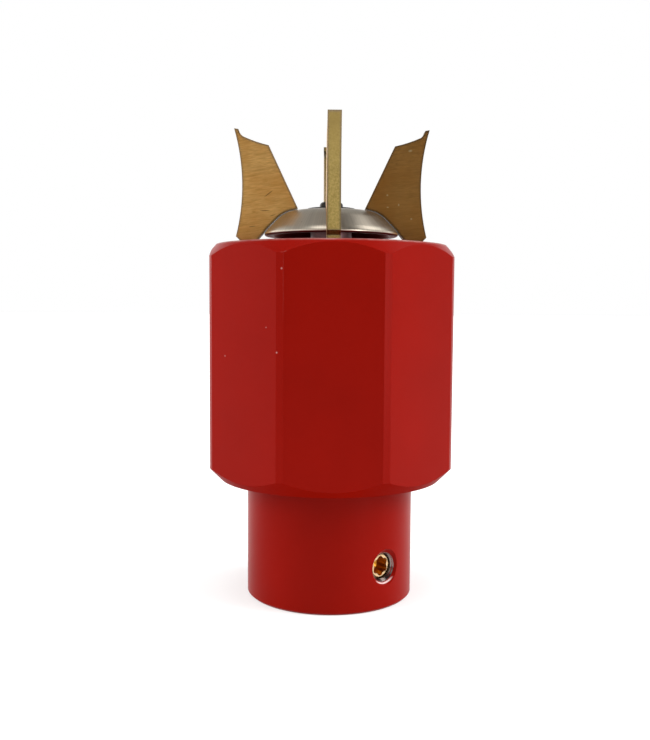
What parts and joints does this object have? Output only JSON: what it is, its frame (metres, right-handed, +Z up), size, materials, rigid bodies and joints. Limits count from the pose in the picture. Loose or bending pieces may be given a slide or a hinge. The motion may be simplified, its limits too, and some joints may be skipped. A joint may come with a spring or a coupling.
{
  "type": "watch polishing holder",
  "caption": "Octagonal watch case polishing holder: a central screw swings slotted brass plate jaws out and in round a steel dome; round shank takes an arbor held by a set screw.",
  "frame": {"origin": "centre of the flat underside of the shank", "axes": "+Z up along the axis of the holder; +X to the right and -Y to the front, each through the middle of a jaw and of a flat of the octagon"},
  "size_m": [0.0496, 0.0496, 0.0981],
  "materials": {
    "red_anodised": "satin red anodised, fine bead blast",
    "jaw_brass": "sawn and brushed plate",
    "turned_brass": "fine turned",
    "gold_screw": "bright gold plated",
    "satin_steel": "turned and satined",
    "bright_steel": "ground",
    "dark_steel": "black oxide"
  },
  "bodies": {
    "root": {"octagon_body": "red_anodised", "arbor_shank": "red_anodised", "shank_screws": "dark_steel", "jaw_carrier": "red_anodised", "carrier_screws": "dark_steel", "feed_nut": "turned_brass", "nut_screws": "dark_steel", "guide_pins": "bright_steel", "pivot_pin_front": "bright_steel", "pivot_pin_right": "bright_steel", "pivot_pin_rear": "bright_steel", "pivot_pin_left": "bright_steel"},
    "lifter": {"lifting_collar": "bright_steel", "dome_cap": "satin_steel", "dome_washer": "dark_steel"},
    "screw": {"adjusting_screw": "dark_steel", "thrust_washer": "turned_brass", "retaining_clip": "dark_steel"},
    "clamp_screw": {"set_screw": "gold_screw"},
    "jaw_front": {"jaw_front": "jaw_brass"},
    "jaw_right": {"jaw_right": "jaw_brass"},
    "jaw_rear": {"jaw_rear": "jaw_brass"},
    "jaw_left": {"jaw_left": "jaw_brass"}
  },
  "joints": [
    {"name": "collar_lift", "type": "slide", "parent": "root", "child": "lifter", "axis": [0, 0, 1], "range_m": [-0.0002, 0.002]},
    {"name": "screw_turn", "type": "hinge", "parent": "lifter", "child": "screw", "pos_m": [0, 0, 0.07], "axis": [0, 0, 1], "range_deg": [-103, 1029]},
    {"name": "jaw_front_swing", "type": "hinge", "parent": "root", "child": "jaw_front", "pos_m": [0, -0.0173, 0.068], "axis": [1, 0, 0], "range_deg": [-1, 10]},
    {"name": "jaw_right_swing", "type": "hinge", "parent": "root", "child": "jaw_right", "pos_m": [0.0173, 0, 0.068], "axis": [0, 1, 0], "range_deg": [-1, 10]},
    {"name": "jaw_rear_swing", "type": "hinge", "parent": "root", "child": "jaw_rear", "pos_m": [0, 0.0173, 0.068], "axis": [-1, 0, 0], "range_deg": [-1, 10]},
    {"name": "jaw_left_swing", "type": "hinge", "parent": "root", "child": "jaw_left", "pos_m": [-0.0173, 0, 0.068], "axis": [0, -1, 0], "range_deg": [-1, 10]},
    {"name": "clamp_screw_feed", "type": "slide", "parent": "root", "child": "clamp_screw", "axis": [0.6361, -0.7716, 0], "range_m": [-0.002, 0.0012]}
  ],
  "couplings": [
    {"joint": "screw_turn", "follows": "collar_lift", "rad_per_m": 8976},
    {"joint": "jaw_front_swing", "follows": "collar_lift", "rad_per_m": 86.957},
    {"joint": "jaw_right_swing", "follows": "collar_lift", "rad_per_m": 86.957},
    {"joint": "jaw_rear_swing", "follows": "collar_lift", "rad_per_m": 86.957},
    {"joint": "jaw_left_swing", "follows": "collar_lift", "rad_per_m": 86.957}
  ]
}
